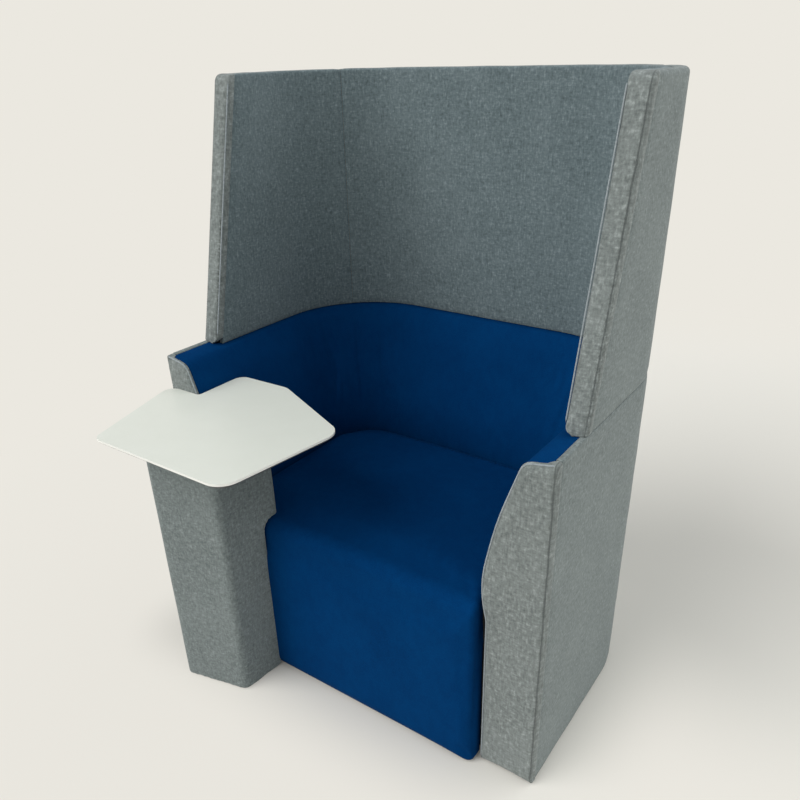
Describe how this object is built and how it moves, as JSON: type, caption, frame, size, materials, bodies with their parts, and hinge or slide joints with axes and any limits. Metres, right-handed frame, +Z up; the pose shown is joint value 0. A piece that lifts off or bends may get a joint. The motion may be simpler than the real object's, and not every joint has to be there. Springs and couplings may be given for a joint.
{
  "type": "acoustic high back lounge chair with tablet",
  "caption": "Upholstered tub chair in a wrap-round acoustic screen, with raked wings, a seat that falls to the floor and a fixed writing tablet on an upholstered pillar.",
  "frame": {"origin": "on the floor, midway across the chair and midway between the tablet's front edge and the back", "axes": "+Z up, +Y to the rear, so the sitter faces -Y, and -X on the tablet's side"},
  "size_m": [1, 0.96, 1.385],
  "materials": {
    "cover_grey": "charcoal-grey felted heather",
    "cover_pale": "pale grey coarse heather",
    "cover_blue": "deep petrol-blue wool",
    "laminate_white": "satin white laminate with a dark edge",
    "plywood": "raw bent plywood",
    "beech": "planed solid timber",
    "board": "raw board",
    "webbing": "woven elastic",
    "lining": "thin black non-woven",
    "zinc": "bright zinc plating",
    "black_steel": "black powder coat",
    "glide_plastic": "moulded black nylon"
  },
  "bodies": {
    "chair": {"arm_facing_left": "cover_pale", "arm_facing_right": "cover_pale", "arm_pad_left": "cover_blue", "arm_pad_right": "cover_blue", "back_cushion": "cover_blue", "base_brace_left": "beech", "base_brace_right": "beech", "base_rail_front": "beech", "base_rail_left": "beech", "base_rail_rear": "beech", "base_rail_right": "beech", "dust_cover": "lining", "front_post_left": "beech", "front_post_right": "beech", "glide_inserts": "zinc", "pillar_base_board": "board", "pillar_bolts": "zinc", "pillar_carcass": "board", "pillar_sleeve": "cover_grey", "pillar_top_board": "board", "rear_post_left": "beech", "rear_post_right": "beech", "screen_core": "plywood", "screen_dowels": "zinc", "screen_inner_back": "cover_grey", "screen_inner_left": "cover_grey", "screen_inner_right": "cover_grey", "screen_outer_back": "cover_grey", "screen_outer_left": "cover_grey", "screen_outer_right": "cover_grey", "seat_brace_left": "beech", "seat_brace_right": "beech", "seat_cushion": "cover_blue", "seat_rail_front": "beech", "seat_rail_left": "beech", "seat_rail_rear": "beech", "seat_rail_right": "beech", "seat_webbing": "webbing", "table_plate": "black_steel", "table_screws": "zinc", "table_top": "laminate_white", "tub_core": "plywood", "tub_cover_back": "cover_grey", "tub_cover_left": "cover_grey", "tub_cover_right": "cover_grey", "wing_edge_left": "cover_pale", "wing_edge_right": "cover_pale"},
    "glide_front_left": {"glide_foot_front_left": "glide_plastic", "glide_stud_front_left": "zinc"},
    "glide_front_right": {"glide_foot_front_right": "glide_plastic", "glide_stud_front_right": "zinc"},
    "glide_rear_left": {"glide_foot_rear_left": "glide_plastic", "glide_stud_rear_left": "zinc"},
    "glide_rear_right": {"glide_foot_rear_right": "glide_plastic", "glide_stud_rear_right": "zinc"},
    "glide_pillar": {"glide_foot_pillar": "glide_plastic", "glide_stud_pillar": "zinc"}
  },
  "joints": [
    {"name": "level_front_left", "type": "slide", "parent": "chair", "child": "glide_front_left", "axis": [0, 0, -1], "range_m": [0, 0.012]},
    {"name": "level_front_right", "type": "slide", "parent": "chair", "child": "glide_front_right", "axis": [0, 0, -1], "range_m": [0, 0.012]},
    {"name": "level_rear_left", "type": "slide", "parent": "chair", "child": "glide_rear_left", "axis": [0, 0, -1], "range_m": [0, 0.012]},
    {"name": "level_rear_right", "type": "slide", "parent": "chair", "child": "glide_rear_right", "axis": [0, 0, -1], "range_m": [0, 0.012]},
    {"name": "level_pillar", "type": "slide", "parent": "chair", "child": "glide_pillar", "axis": [0, 0, -1], "range_m": [0, 0.012]}
  ]
}
